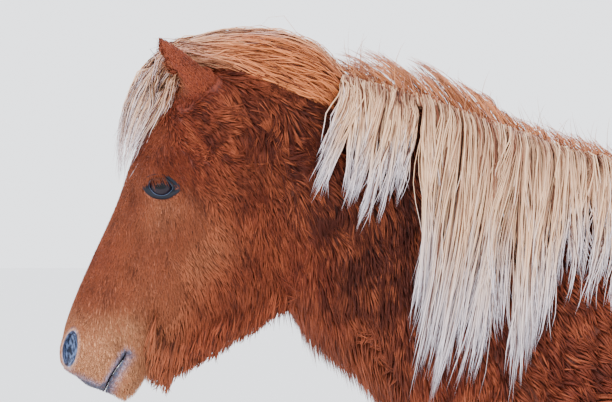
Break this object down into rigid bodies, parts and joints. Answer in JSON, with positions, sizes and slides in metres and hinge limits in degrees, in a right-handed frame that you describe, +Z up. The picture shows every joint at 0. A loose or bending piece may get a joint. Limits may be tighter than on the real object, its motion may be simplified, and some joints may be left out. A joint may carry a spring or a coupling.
{
  "type": "icelandic horse",
  "caption": "Life-size standing Icelandic horse in winter coat, with forelock, flaxen mane, jaw fringe, tail and feathered legs, as a still display model.",
  "frame": {"origin": "on the floor below the middle of the horse's bounding box", "axes": "-X is the way the horse faces, -Y is its left side, +Z is up"},
  "size_m": [2.1494, 0.5834, 1.6157],
  "materials": {
    "coat": "dense chestnut winter coat",
    "mane": "long flaxen hair",
    "hoof": "dull dark horn",
    "eye": "wet gloss"
  },
  "bodies": {
    "root": {"head": "coat", "neck": "coat", "torso": "coat", "tail": "mane", "left_ear": "coat", "left_forearm": "coat", "left_fore_cannon": "coat", "left_thigh": "coat", "left_hind_cannon": "coat", "left_fore_hoof": "hoof", "left_hind_hoof": "hoof", "left_eye": "eye", "right_ear": "coat", "right_forearm": "coat", "right_fore_cannon": "coat", "right_thigh": "coat", "right_hind_cannon": "coat", "right_fore_hoof": "hoof", "right_hind_hoof": "hoof", "right_eye": "eye"}
  },
  "joints": []
}
